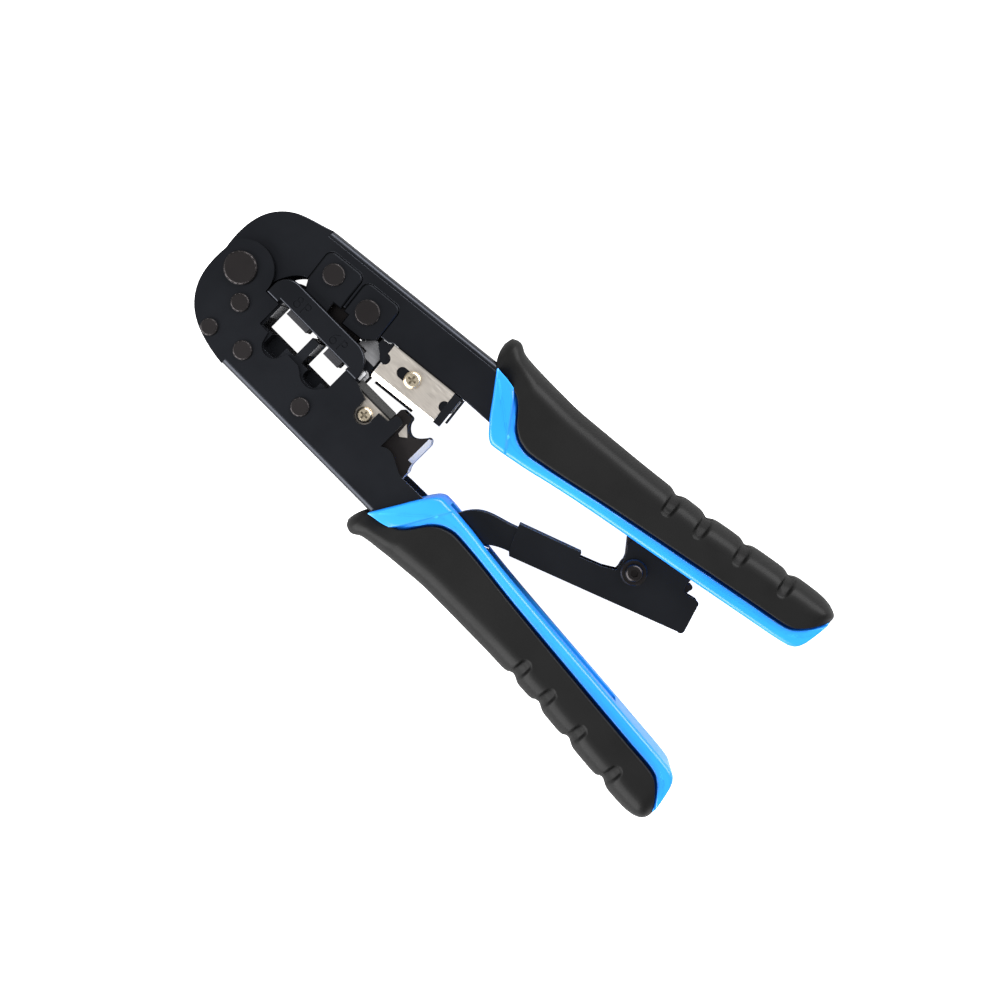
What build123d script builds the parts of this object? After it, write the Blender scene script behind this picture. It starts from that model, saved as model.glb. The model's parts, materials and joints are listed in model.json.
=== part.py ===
"""A ratcheting crimping tool for 8- and 6-position modular plugs, with a wire cutter and stripper.

Millimetres. The origin is on the main pivot's axis, halfway through the tool. +X runs along the
straight edge of the lower arm towards the handle ends, +Y points from the lower arm to the upper
arm, and +Z runs along the pivot towards the front face. The lower arm, with the plug nest, is
fixed. The upper arm is modelled closed, parallel to the lower one, then opened about the pivot.
"""

import math
import os

from build123d import *

# Driving dimensions
OPEN_ANGLE = 6.5  # degrees between the arms when the tool is open
SHEET = 1.8  # thickness of the arms' steel sheet
UPPER_HALF = 5.6  # half width over the upper arm's two cheeks
LOWER_HALF = 8.0  # half width over the lower arm's two cheeks, which run outside the upper's
LOWER_BACK = 22.6  # outer edge of the lower arm, from the pivot
UPPER_BACK = 24.0  # outer edge of the upper arm, from the pivot
TANG_END = 162.0  # end of both arms, inside the handles
GAP = 0.1  # working clearance between sliding faces
FIT = 0.05  # radial running clearance of a pin in its hole
SEAT = 0.02  # radial gap of a pin or rivet that sits fast in its hole

# Faces that follow from them
UPPER_IN = UPPER_HALF - SHEET
LOWER_IN = LOWER_HALF - SHEET
BEND = SHEET + 0.1  # depth of the rolled edge of each arm

# Main pivot
PIVOT_R = 3.0
PIVOT_HEAD_R = 4.8
PIVOT_HEAD = 1.3

# Plug nest, guide bars and die
NEST_HALF = LOWER_IN - GAP
CORE_HALF = UPPER_IN - 0.3  # what stands up between the upper arm's cheeks
CAVITY_8 = (15.0, 27.4)  # left and right walls of the 8-position cavity
CAVITY_6 = (30.1, 40.3)
CAVITY_FLOOR = -7.0
DIE_LOW = 3.35
DIE_TOP = 7.95  # the die travels 2.85 down from here
CONTACT_PITCH = 1.016  # spacing of the contacts in a modular plug
CONTACT_WIDTH = 0.45
PUNCH_8 = (21.05, 8, -0.3)  # middle, contacts and lowest edge
PUNCH_6 = (35.05, 6, -0.9)
PUNCH_TOP = 5.6
PUNCH_Z = (-3.6, 4.4)
DIE_SPRING_X = (CAVITY_8[1] + CAVITY_6[0]) / 2  # in the wall between the two cavities
DIE_SPRING_Z = 3.6
DIE_SPRING_LOW = -4.0
DIE_SPRING_R = 0.9
DIE_SPRING_WIRE = 0.36
DIE_SPRING_TURNS = 9
BAR_Z = (LOWER_IN, LOWER_IN + 2.4)  # the guide bars lie in the lower cheeks' layer
NEST_RIVETS = ((6.6, -6.9, 2.7), (5.2, -17.8, 2.5), (16.3, -15.8, 2.8), (38.7, -15.6, 2.75))
NEST_RIVET_R = 1.5
PAD_RIVETS = ((21.2, 14.6, 3.2), (35.0, 12.3, 3.6))
PAD_SHANK = 1.2  # how much smaller the shank of a pad rivet is than its head
PAD_Z = (UPPER_IN + GAP, LOWER_IN - GAP)  # the pads pass behind the guide bars
PAD_CORNER = 2.2
PUSHER_END = 38.0  # right edge of the pusher block, which passes beside the head of the right post
TONGUE_END = 36.9
TONGUE_HALF = 1.1  # half thickness of the pusher's tongue, which dips into the die
PADS = (  # left, right and top edge of each pad, then its lower edge from right to left
    (16.0, 28.3, 19.5, ((28.3, 8.4), (25.8, 8.4), (25.8, 5.25), (17.4, 6.15), (16.0, 9.6))),
    (29.4, 41.7, 19.0, ((41.7, 7.8), (38.6, 5.3), (31.0, 5.3), (31.0, 8.4), (29.4, 8.4))),
)
DIGIT_STROKE = 0.45
DIGIT_DEPTH = 0.3
DOWELS = ((12.3, 1.9), (42.4, 3.0))
DOWEL_R = 1.2

# Cutter
SHEAR_PLANE = 5.05  # z at which the two blades pass each other
BLADE = 1.0
SCREW_R = 1.4
UPPER_SCREW = (56.4, 5.5)
LOWER_SCREW = (52.7, -4.6)

# Handles, measured outwards from the pivot in each arm's own frame
CORE_HALF_WIDTH = 10.0
GRIP_HALF_WIDTH = 10.5
SLOT_HALF = 4.3
LOWER_SLOT = (87.5, 159.8)  # where the strut dips into the lower handle
UPPER_SLOT = (122.0, 163.0)
GROOVES = ((134.0, 20.2), (144.7, 21.0), (157.8, 22.0), (172.8, 23.0))
GROOVE_WIDTH = 3.5
GROOVE_DEPTH = 0.8

# Ratchet linkage: A is in the lower arm, C in the upper arm, B is the elbow with the screw
PIN_A = (94.5, -13.0)
PIN_A_R = 2.5
PIN_C_R = 2.0
PIN_B = (137.1, 17.9)
PIN_C = (129.0, 16.5)  # in the upper arm's frame
PAWL_PIN = (149.5, 17.5)
PAWL_PIN_R = 1.2
STRUT_IN = 2.5  # inner and outer faces of the strut's cheeks
STRUT_OUT = 3.7
LINK_HALF = 1.8
ELBOW_R = 1.9
ELBOW_PLAY = 0.3  # radial play of the link on the elbow screw, where the loop is open
RATCHET_R = 9.0
TOOTH = 0.8
TOOTH_PITCH = 4.56  # degrees
TOOTH_COUNT = 5
OPENING_WIRE = 0.5
OPENING_PITCH = 0.6
OPENING_TURNS = 3.39
OPENING_START = 110.0  # direction of the coil's first point from the pin
ELBOW_CLOSED = (143.2, 7.0)  # where the elbow is when the tool is shut
RELIEF_R = 4.4  # the relief in the upper handle that the elbow sinks into
RELIEF_HALF = 7.2
NOSE_ANGLE = -30.0  # direction of the pawl's nose from the elbow
RATCHET_SWEEP = 30.8  # degrees that the ratchet turns against the strut over the stroke


class Outline:
    """A closed outline drawn from point to point."""

    def __init__(self, x, y):
        self.first = (x, y)
        self.here = (x, y)
        self.edges = []

    def line(self, *points):
        for point in points:
            self.edges.append(Line(self.here, point))
            self.here = point
        return self

    def arc(self, middle, end):
        self.edges.append(ThreePointArc(self.here, middle, end))
        self.here = end
        return self

    def curve(self, *points):
        self.edges.append(Spline(self.here, *points))
        self.here = points[-1]
        return self

    def face(self):
        if math.dist(self.here, self.first) > 1e-6:
            self.line(self.first)
        return make_face(self.edges)


def slab(face, low, high):
    """The plate between two heights that has the outline of face."""
    return Pos(0, 0, low) * extrude(face, high - low, dir=(0, 0, 1))


def disc(centre, radius, low, high):
    return Pos(centre[0], centre[1], low) * Cylinder(
        radius, high - low, align=(Align.CENTER, Align.CENTER, Align.MIN)
    )


def block(x, y, z):
    """A box from three (low, high) pairs."""
    size = [high - low for low, high in (x, y, z)]
    middle = [(high + low) / 2 for low, high in (x, y, z)]
    return Pos(*middle) * Box(*size)


def both_sides(shape):
    """The shape and its mirror image in the tool's middle plane."""
    return [shape, mirror(shape, Plane.XY)]


def joined(*shapes):
    whole = shapes[0]
    for shape in shapes[1:]:
        whole = whole + shape
    return whole


def polar(centre, radius, degrees):
    angle = math.radians(degrees)
    return (centre[0] + radius * math.cos(angle), centre[1] + radius * math.sin(angle))


def opened(shape):
    """Turns a piece of the upper arm from the closed to the open position."""
    return shape.rotate(Axis.Z, OPEN_ANGLE)


def open_point(point):
    """The same turn for a point."""
    angle = math.radians(OPEN_ANGLE)
    x = point[0] * math.cos(angle) - point[1] * math.sin(angle)
    y = point[0] * math.sin(angle) + point[1] * math.cos(angle)
    return (x, y)


def flip_y(shape):
    return mirror(shape, Plane.XZ)


# ---------------------------------------------------------------- arms


def rolled_back(start, back, half):
    """The web of a channel arm, with its two outer corners rolled round."""
    web = block((start, TANG_END), (back - BEND, back), (-half, half))
    corners = web.edges().filter_by(Axis.X).group_by(Axis.Y)[-1]
    return fillet(corners, BEND - 0.1)


def lower_flange():
    """One cheek of the lower arm, seen from the front."""
    outline = Outline(-6.6, 4.0)
    outline.curve((-7.1, -2.0), (-6.0, -10.5), (-1.5, -17.1), (5.5, -20.8), (14.5, -LOWER_BACK))
    outline.line((14.5, -LOWER_BACK + BEND), (TANG_END, -LOWER_BACK + BEND))
    outline.line((TANG_END, -14.5), (86.0, -9.2), (74.0, -9.4))
    outline.curve((70.0, -8.6), (66.0, -6.6), (62.2, -7.4))
    outline.line((62.2, 1.4))
    outline.arc((61.0, 1.95), (59.5, 1.8))
    outline.line((58.7, -1.0), (55.35, -1.2), (55.35, -3.87))
    outline.arc((52.7, -7.35), (50.15, -3.6))
    outline.line((50.0, -1.2), (49.5, -1.1), (45.2, 0.6), (40.6, 0.7))
    outline.line((40.6, -6.4), (38.3, -9.2))
    outline.arc((35.2, -10.5), (32.1, -9.2))
    outline.line((30.2, -7.9), (26.0, -7.8), (24.9, -10.2))
    outline.arc((21.7, -12.3), (18.6, -10.3))
    outline.line((17.8, -7.3), (14.4, -7.2), (14.4, 0.4), (9.4, 0.3))
    outline.arc((1.2, 8.7), (-6.6, 4.0))
    return outline.face()


def lower_arm():
    flange = slab(lower_flange(), LOWER_IN, LOWER_HALF)
    flange = flange - disc((0, 0), PIVOT_R + SEAT, 0, 20)
    for x, y, _ in NEST_RIVETS:
        flange = flange - disc((x, y), NEST_RIVET_R + SEAT, 0, 20)
    flange = flange - disc(PIN_A, PIN_A_R + SEAT, 0, 20)
    web = flip_y(rolled_back(14.5, LOWER_BACK, LOWER_HALF))
    return joined(web, *both_sides(flange))


def upper_flange():
    """One cheek of the upper arm, closed."""
    outline = Outline(-7.2, 0.0)
    outline.arc((0.0, -7.2), (7.2, 0.0))
    outline.curve((10.3, 4.4), (13.6, 8.2), (16.5, 9.3))
    outline.line((44.5, 9.3), (46.0, 10.1), (71.5, 10.1), (86.0, 9.3), (TANG_END, 14.5))
    outline.line((TANG_END, UPPER_BACK - BEND), (13.5, UPPER_BACK - BEND), (13.5, UPPER_BACK))
    outline.curve((8.0, 22.9), (2.0, 21.3), (-4.0, 16.4), (-6.6, 10.5), (-7.2, 0.0))
    return outline.face()


def rounded_top(outline, left, right, top):
    """Adds the upper edge of a pad, with both corners rounded, from right to left."""
    bend = PAD_CORNER * (1 - math.sqrt(0.5))
    outline.line((right, top - PAD_CORNER))
    outline.arc((right - bend, top - bend), (right - PAD_CORNER, top))
    outline.line((left + PAD_CORNER, top))
    return outline.arc((left + bend, top - bend), (left, top - PAD_CORNER))


def pad_window(left, right, top):
    """The window in an upper cheek that a pusher pad stands in."""
    outline = Outline(right + GAP, 0.0)
    return rounded_top(outline, left - GAP, right + GAP, top + GAP).line((left - GAP, 0.0)).face()


def upper_arm():
    flange = slab(upper_flange(), UPPER_IN, UPPER_HALF)
    flange = flange - disc((0, 0), PIVOT_R + FIT, 0, 20)
    for left, right, top, _ in PADS:
        flange = flange - slab(pad_window(left, right, top), 0, 20)
    flange = flange - disc(PIN_C, PIN_C_R + SEAT, 0, 20)
    flange = fillet(flange.faces().sort_by(Axis.Z)[-1].outer_wire().edges(), 0.3)
    web = rolled_back(13.5, UPPER_BACK, UPPER_HALF)
    return joined(web, *both_sides(flange))


# ---------------------------------------------------------------- fasteners


def rivet(centre, shank, head, half, height):
    """A rivet through the tool with a low chamfered head on each side."""
    cap = disc(centre, head, half, half + height)
    cap = chamfer(cap.edges().group_by(Axis.Z)[-1], height * 0.35)
    return joined(disc(centre, shank, -half, half), *both_sides(cap))


def cross_recess(centre, top, size, depth):
    """The cross-shaped socket of a screw head, as a cutter."""
    arm = 0.24 * size
    x, y = centre
    bars = [
        block((x - size, x + size), (y - arm, y + arm), (top - depth, top + 1)),
        block((x - arm, x + arm), (y - size, y + size), (top - depth, top + 1)),
    ]
    return joined(*bars)


def pan_screw(centre, seat, head, height, shank, tip):
    """A pan-head screw with a cross socket, pointing away from the front."""
    cap = disc(centre, head, seat, seat + height)
    cap = fillet(cap.edges().group_by(Axis.Z)[-1], height * 0.55)
    cap = cap - cross_recess(centre, seat + height, head * 0.52, height * 0.6)
    return cap + disc(centre, shank, tip, seat)


def ring(centre, inner, outer, low, high):
    return disc(centre, outer, low, high) - disc(centre, inner, low - 1, high + 1)


# ---------------------------------------------------------------- pivot


def pivot_rivet():
    return rivet((0, 0), PIVOT_R, PIVOT_HEAD_R, LOWER_HALF, PIVOT_HEAD)


def pivot_bush():
    return ring((0, 0), PIVOT_R + SEAT, 5.8, -UPPER_IN + FIT, UPPER_IN - FIT)


def pivot_shims():
    shim = ring((0, 0), PIVOT_R + SEAT, 6.0, UPPER_HALF + SEAT, LOWER_IN - SEAT)
    return Compound(both_sides(shim))


# ---------------------------------------------------------------- plug nest and die


def nest_outline():
    outline = Outline(3.0, -19.5)
    outline.line((20.0, -19.5), (20.0, -13.8), (45.1, -13.8), (45.1, 4.0))
    outline.line((CAVITY_6[1], 4.0), (CAVITY_6[1], 0.4), (CAVITY_8[0] - 0.2, 0.4))
    outline.line((CAVITY_8[0] - 0.2, 3.4), (10.9, 3.4), (10.0, 0.3), (7.6, -1.2))
    outline.arc((5.9, -4.95), (3.0, -7.09))
    return outline.face()


def guide_posts():
    """The two posts that guide the die; the right one stands above the guide bars and ends in a head."""
    left = block((10.9, CAVITY_8[0] - 0.2), (0.0, 7.4), (-CORE_HALF, CORE_HALF))
    outline = Outline(CAVITY_6[1] + 0.05, 0.0)
    outline.line((46.0, 0.0), (46.0, 3.6), (45.1, 4.2), (44.6, 9.2), (42.8, 11.7), (40.6, 12.4))
    outline.line((PUSHER_END + 0.3, 10.7), (PUSHER_END + 0.3, 9.85))
    outline.line((TONGUE_END + 0.35, 9.5), (TONGUE_END + 0.35, DIE_TOP + 0.35))
    outline.line((CAVITY_6[1] + 0.05, DIE_TOP + 0.35))
    right = slab(outline.face(), -CORE_HALF, CORE_HALF)
    return [left, right]


def latch_pocket(centre, width, bottom):
    """The pocket under a cavity for the plug's latch, open to the front only."""
    pocket = block(
        (centre - width / 2, centre + width / 2), (bottom, CAVITY_FLOOR + 1), (-1.0, 20)
    )
    return fillet(pocket.edges().filter_by(Axis.Z).group_by(Axis.Y)[0], width * 0.3)


def plug_nest():
    nest = slab(nest_outline(), -NEST_HALF, NEST_HALF)
    nest = joined(nest, *guide_posts())
    for low, high in (CAVITY_8, CAVITY_6):
        nest = nest - block((low, high), (CAVITY_FLOOR, 0.5), (-20, 20))
    nest = nest - latch_pocket(21.5, 5.6, -11.6)
    nest = nest - latch_pocket(35.2, 5.2, -9.9)
    for x, y, _ in NEST_RIVETS[:3]:
        nest = nest - disc((x, y), NEST_RIVET_R + SEAT, -20, 20)
    for centre in DOWELS:
        nest = nest - disc(centre, DOWEL_R + SEAT, -20, 20)
    for z in (-DIE_SPRING_Z, DIE_SPRING_Z):
        nest = nest - y_cylinder(DIE_SPRING_X, z, 1.25, DIE_SPRING_LOW, 1.0)
    return nest


def nest_rivets():
    rivets = [
        rivet((x, y), NEST_RIVET_R, head, LOWER_HALF, 1.0) for x, y, head in NEST_RIVETS
    ]
    return Compound(rivets)


def bar_outline():
    outline = Outline(14.0, 1.7)
    outline.line((40.3, 1.7), (40.3, 0.75), (44.4, 0.75), (44.4, 2.2))
    outline.curve((43.2, 5.4), (41.0, 7.4), (38.0, 8.3))
    outline.line((15.0, 8.3))
    outline.curve((12.4, 7.7), (10.5, 5.9), (9.7, 3.0))
    outline.line((9.7, 0.6), (14.0, 0.6))
    return outline.face()


def guide_bar():
    """A bar across the cavities that holds the die in line."""
    bar = slab(bar_outline(), *BAR_Z)
    bar = fillet(bar.edges().group_by(Axis.Z)[-1], 0.5)
    for centre in DOWELS:
        bar = bar - disc(centre, DOWEL_R + SEAT, BAR_Z[0] - 1, BAR_Z[1] - 0.6)
    return bar


def digit_ring(x, y, radius):
    """A round stroke of an engraved digit, as a cutter."""
    return ring((x, y), radius - DIGIT_STROKE, radius, BAR_Z[1] - DIGIT_DEPTH, BAR_Z[1] + 1)


def digit_eight(x, y):
    return [digit_ring(x, y + 0.75, 0.95), digit_ring(x, y - 0.8, 1.15)]


def digit_six(x, y):
    """A ring with a curved stem that rises from its left side."""
    stem = digit_ring(x + 1.35, y - 0.6, 2.5)
    window = block((x - 1.2, x + 0.75), (y - 0.6, y + 3.0), (BAR_Z[1] - 1, BAR_Z[1] + 2))
    return [digit_ring(x, y - 0.8, 1.15), stem & window]


def letter_p(x, y):
    """The letter that stands for positions: a ring on a straight stem."""
    low, high = BAR_Z[1] - DIGIT_DEPTH, BAR_Z[1] + 1
    stem = block((x - 1.0, x - 1.0 + DIGIT_STROKE), (y - 1.95, y + 1.7), (low, high))
    return [stem, digit_ring(x, y + 0.7, 1.0)]


def guide_bar_front():
    """The front bar carries the two position counts, engraved."""
    bar = guide_bar()
    eight = digit_eight(18.2, 4.9) + letter_p(21.2, 4.9)
    six = digit_six(32.3, 4.9) + letter_p(35.4, 4.9)
    for cutter in eight + six:
        bar = bar - cutter
    return bar


def guide_bar_back():
    return mirror(guide_bar(), Plane.XY)


def guide_dowels():
    reach = BAR_Z[1] - 0.6 - SEAT
    return Compound([disc(centre, DOWEL_R, -reach, reach) for centre in DOWELS])


def y_cylinder(x, z, radius, low, high):
    """A cylinder along Y."""
    upright = Cylinder(radius, high - low, align=(Align.CENTER, Align.CENTER, Align.MIN))
    return Pos(x, low, z) * Rot(-90, 0, 0) * upright


def coil(radius, wire, height, turns):
    """A coil spring along Z, standing on z = 0."""
    path = Helix(pitch=(height - wire) / turns, height=height - wire, radius=radius)
    section = Plane(origin=path @ 0, z_dir=path % 0) * Circle(wire / 2)
    return Pos(0, 0, wire / 2) * sweep(section, path=path)


def die_springs():
    height = DIE_LOW - DIE_SPRING_LOW - 2 * FIT
    spring = Rot(-90, 0, 0) * coil(DIE_SPRING_R, DIE_SPRING_WIRE, height, DIE_SPRING_TURNS)
    low = DIE_SPRING_LOW + FIT
    return Compound([Pos(DIE_SPRING_X, low, z) * spring for z in (-DIE_SPRING_Z, DIE_SPRING_Z)])


def punch_width(contacts):
    return (contacts - 1) * CONTACT_PITCH + CONTACT_WIDTH


def die_block():
    left = CAVITY_8[0] - 0.2 + GAP
    right = CAVITY_6[1] + 0.05 - GAP
    die = block((left, right), (DIE_LOW, DIE_TOP), (-NEST_HALF, NEST_HALF))
    slot = TONGUE_HALF + 3 * GAP
    die = die - block((24.0, 50.0), (6.4, 20), (-slot, slot))
    for middle, contacts, _ in (PUNCH_8, PUNCH_6):
        half = punch_width(contacts) / 2
        die = die - block((middle - half, middle + half), (0, PUNCH_TOP), PUNCH_Z)
    return chamfer(die.edges().filter_by(Axis.Z).group_by(Axis.Y)[-1].sort_by(Axis.X)[0], 0.8)


def punch(middle, contacts, low):
    """A crimping punch: a comb that drives the contacts and a ridge that clamps the cable."""
    half = punch_width(contacts) / 2
    body = block((middle - half, middle + half), (low + 1.6, PUNCH_TOP), PUNCH_Z)
    ridge = block((middle - half, middle + half), (low, low + 1.7), (2.6, PUNCH_Z[1]))
    pieces = [body, ridge]
    for index in range(contacts):
        x = middle - half + index * CONTACT_PITCH
        pieces.append(block((x, x + CONTACT_WIDTH), (low, low + 1.7), (-3.4, 0.6)))
    return joined(*pieces)


def punch_8():
    return punch(*PUNCH_8)


def punch_6():
    return punch(*PUNCH_6)


# ---------------------------------------------------------------- pusher on the upper arm


def pusher_block():
    """The block between the upper arm's cheeks that carries the pads."""
    half = UPPER_IN - GAP
    pusher = block((17.4, PUSHER_END), (10.0, 20.5), (-half, half))
    outline = Outline(25.4, 10.5)
    outline.line((25.4, 4.6), (31.0, 4.2), (TONGUE_END, 3.9), (TONGUE_END, 10.5))
    pusher = pusher + slab(outline.face(), -TONGUE_HALF, TONGUE_HALF)
    for x, y, head in PAD_RIVETS:
        pusher = pusher - disc((x, y), head - PAD_SHANK + SEAT, -20, 20)
    return pusher


def pusher_pads(side):
    """The two pads on one side of the upper arm, whose lower edges press on the die."""
    pads = []
    for (x, y, head), (left, right, top, lower_edge) in zip(PAD_RIVETS, PADS):
        outline = Outline(*lower_edge[0])
        rounded_top(outline, left, right, top)
        outline.line(*reversed(lower_edge[1:]))
        pad = slab(outline.face(), *PAD_Z)
        pad = chamfer(pad.edges().group_by(Axis.Z)[-1], 0.35)
        pad = pad - disc((x, y), head - PAD_SHANK + SEAT, -20, 20)
        pads.append(pad if side > 0 else mirror(pad, Plane.XY))
    return Compound(pads)


def pusher_pads_front():
    return pusher_pads(1)


def pusher_pads_back():
    return pusher_pads(-1)


def pad_rivets():
    rivets = [rivet((x, y), head - PAD_SHANK, head, PAD_Z[1], 0.9) for x, y, head in PAD_RIVETS]
    return Compound(rivets)


# ---------------------------------------------------------------- cutter


def blade_holder():
    """The block that carries the upper blade between and in front of the cheeks."""
    half = UPPER_IN - GAP
    rear = SHEAR_PLANE - BLADE
    body = block((47.5, 70.2), (4.5, 20.0), (-half, half))
    step = block((47.5, 70.2), (4.5, 9.95), (half - GAP, rear))
    front = block((47.5, 70.2), (2.1, 9.95), (rear, SHEAR_PLANE))
    leg = block((68.0, 71.4), (0.0, 9.9), (rear, SHEAR_PLANE + 0.9))
    leg = leg - block((70.2, 72.0), (-1.0, 1.9), (0, 20)) - block((70.2, 70.75), (-1.0, 9.2), (0, 20))
    outline = Outline(47.6, 3.7)
    outline.line((47.6, 9.95), (46.0, 9.95), (44.5, 9.17), (42.6, 9.17), (42.6, 7.2), (44.7, 5.3))
    outline.arc((45.6, 4.2), (47.6, 3.7))
    wing = slab(outline.face(), rear, SHEAR_PLANE)
    holder = joined(body, step, front, leg, wing)
    holder = holder - disc(UPPER_SCREW, SCREW_R + SEAT, 0, 20)
    return holder - block((47.9, 61.3), (0, 7.0), (-0.4, 0.4))


def upper_blade():
    outline = Outline(46.5, -1.0)
    outline.line((67.9, -1.0), (67.9, 3.55))
    outline.arc((66.3, 5.2), (67.9, 6.85))
    outline.line((67.9, 10.0), (46.5, 10.0), (46.5, 6.95))
    outline.arc((48.25, 5.3), (46.5, 3.65))
    blade = slab(outline.face(), SHEAR_PLANE + FIT, SHEAR_PLANE + FIT + BLADE)
    slot = disc((52.9, 5.3), 1.65, 0, 20) + disc((57.2, 5.3), 1.65, 0, 20)
    slot = slot + block((52.9, 57.2), (5.3 - 1.65, 5.3 + 1.65), (0, 20))
    front = SHEAR_PLANE + FIT + BLADE
    bevel = Outline(0.6, front)
    bevel.line((-1.2, front), (-1.2, front - 0.95))
    wedge = Pos(40, 0, 0) * extrude(Plane.YZ * bevel.face(), 40, dir=(1, 0, 0))
    return blade - slot - wedge


def upper_blade_screw():
    return pan_screw(UPPER_SCREW, SHEAR_PLANE + FIT + BLADE, 2.45, 1.7, SCREW_R, 1.0)


def strip_gauge():
    """The thin plate under the upper blade that a wire is laid against."""
    return block((47.95, 61.2), (-2.2, 6.9), (-0.35, 0.35))


def lower_blade():
    blade = block((45.3, 58.6), (-9.0, 1.9), (SHEAR_PLANE - FIT - BLADE, SHEAR_PLANE - FIT))
    front = SHEAR_PLANE - FIT
    bevel = Outline(-0.2, front)
    bevel.line((2.0, front), (2.0, front - 0.8))
    wedge = Pos(40, 0, 0) * extrude(Plane.YZ * bevel.face(), 40, dir=(1, 0, 0))
    return blade - wedge - disc(LOWER_SCREW, SCREW_R + SEAT, -20, 20)


def lower_blade_screw():
    return pan_screw(LOWER_SCREW, SHEAR_PLANE - FIT, 2.3, 1.7, SCREW_R, -2.0)


def stripper_block():
    """The block in the lower arm that backs the lower blade and holds the stripping notch."""
    outline = Outline(46.2, -13.9)
    outline.line((46.2, 0.9), (58.75, 0.9), (58.75, 3.2))
    outline.arc((59.0, 3.8), (59.6, 4.0))
    outline.line((62.0, 4.0))
    outline.arc((62.7, 3.7), (62.95, 3.0))
    outline.curve((63.6, 1.5), (66.1, 0.05), (68.4, 1.5), (69.4, 2.8))
    outline.arc((70.2, 3.4), (71.1, 3.1))
    outline.line((71.7, 2.2), (71.7, -5.0))
    outline.arc((72.0, -6.5), (72.6, -7.6))
    outline.line((72.6, -20.2), (35.5, -20.2), (35.5, -13.9))
    solid = slab(outline.face(), -4.9, SHEAR_PLANE - FIT - BLADE)
    foot = block((35.5, 60.0), (-20.2, -13.9), (-NEST_HALF, NEST_HALF))
    solid = solid + foot
    x, y, _ = NEST_RIVETS[3]
    solid = solid - disc((x, y), NEST_RIVET_R + SEAT, -20, 20)
    solid = solid - disc(LOWER_SCREW, SCREW_R + SEAT, -2.1, 20)
    solid = solid - block((47.0, 62.0), (-3.0, 20), (-0.8, 0.8))
    return solid - prong_bevel(SHEAR_PLANE - FIT - BLADE)


def prong_bevel(front):
    """The ground bevel along the free edge of the notched prong, as a cutter."""
    outline = Outline(71.71, front - 1.6)
    outline.line((71.71, front + 1), (70.2, front + 1), (70.2, front))
    wedge = Pos(0, -5.0, 0) * extrude(Plane.XZ * outline.face(), 8.5, dir=(0, 1, 0))
    return wedge


def stripping_blade():
    """The small blade set beside the stripping notch."""
    low = SHEAR_PLANE - FIT - BLADE
    outline = Outline(62.75, 1.9)
    outline.line((63.0, -1.6), (63.8, -2.1), (65.6, -0.7))
    return slab(outline.face(), low, low + 0.6)


# ---------------------------------------------------------------- handles


def handle_outline():
    """The whole handle from the side, with the tool's middle at small y."""
    outline = Outline(73.0, 22.5)
    outline.line((80.5, 9.8))
    outline.curve((83.2, 6.2), (85.4, 5.2))
    outline.curve((115.0, 8.1), (150.0, 10.7), (180.0, 13.1))
    outline.curve((185.2, 14.0), (187.8, 19.0), (189.9, 26.8))
    outline.curve((188.9, 29.0), (184.0, 30.7), (173.0, 30.0))
    outline.curve((158.0, 29.0), (140.0, 27.7), (120.0, 27.4), (100.0, 27.5), (85.0, 29.0), (77.0, 30.1))
    outline.line((75.8, 30.8))
    outline.arc((71.6, 31.6), (71.0, 27.0))
    return outline.face()


def grip_outline():
    """The soft outer part: everything beyond the curved parting line."""
    outline = Outline(60.0, 23.6)
    outline.line((72.6, 23.6), (75.0, 23.0))
    outline.curve((80.0, 22.3), (84.0, 18.8), (88.0, 13.4), (95.0, 10.2), (104.0, 10.9))
    outline.curve((130.0, 13.6), (155.0, 15.8), (178.0, 17.5))
    outline.curve((182.4, 18.8), (186.0, 21.8), (189.9, 26.8))
    outline.line((200.0, 30.0), (200.0, 50.0), (60.0, 50.0))
    return outline.face()


def tang_pocket(back, half):
    """The space that the arm takes up inside its handle."""
    outline = Outline(60.0, 9.1)
    outline.line((86.0, 9.1), (TANG_END + GAP, 14.4), (TANG_END + GAP, back), (60.0, back))
    return slab(outline.face(), -half, half)


def handle_core(back, half, slot):
    core = slab(handle_outline() - grip_outline(), -CORE_HALF_WIDTH, CORE_HALF_WIDTH)
    core = core - tang_pocket(back, half)
    return core - block(slot, (0, 30), (-SLOT_HALF, SLOT_HALF))


def handle_grip(back, half, slot):
    """The rubber-like grip, with four finger grooves on each side."""
    grip = slab(handle_outline() & grip_outline(), -GRIP_HALF_WIDTH, GRIP_HALF_WIDTH)
    grip = grip - tang_pocket(back, half) - block(slot, (0, 16), (-SLOT_HALF, SLOT_HALF))
    floor = GRIP_HALF_WIDTH - GROOVE_DEPTH
    for x, inner in GROOVES:
        groove = block(
            (x - GROOVE_WIDTH / 2, x + GROOVE_WIDTH / 2), (inner, 40), (floor, GRIP_HALF_WIDTH + 1)
        )
        for side in both_sides(groove):
            grip = grip - side
    return grip


def lower_handle_core():
    return flip_y(handle_core(LOWER_BACK, LOWER_HALF, LOWER_SLOT))


def upper_handle_core():
    """The upper handle has a round relief that the elbow's washer and nut sink into."""
    core = handle_core(UPPER_BACK, UPPER_HALF, UPPER_SLOT)
    return core - disc(ELBOW_CLOSED, RELIEF_R, -RELIEF_HALF, RELIEF_HALF)


def lower_grip():
    return flip_y(handle_grip(LOWER_BACK, LOWER_HALF, LOWER_SLOT))


def upper_grip():
    return handle_grip(UPPER_BACK, UPPER_HALF, UPPER_SLOT)


# ---------------------------------------------------------------- ratchet linkage


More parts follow.
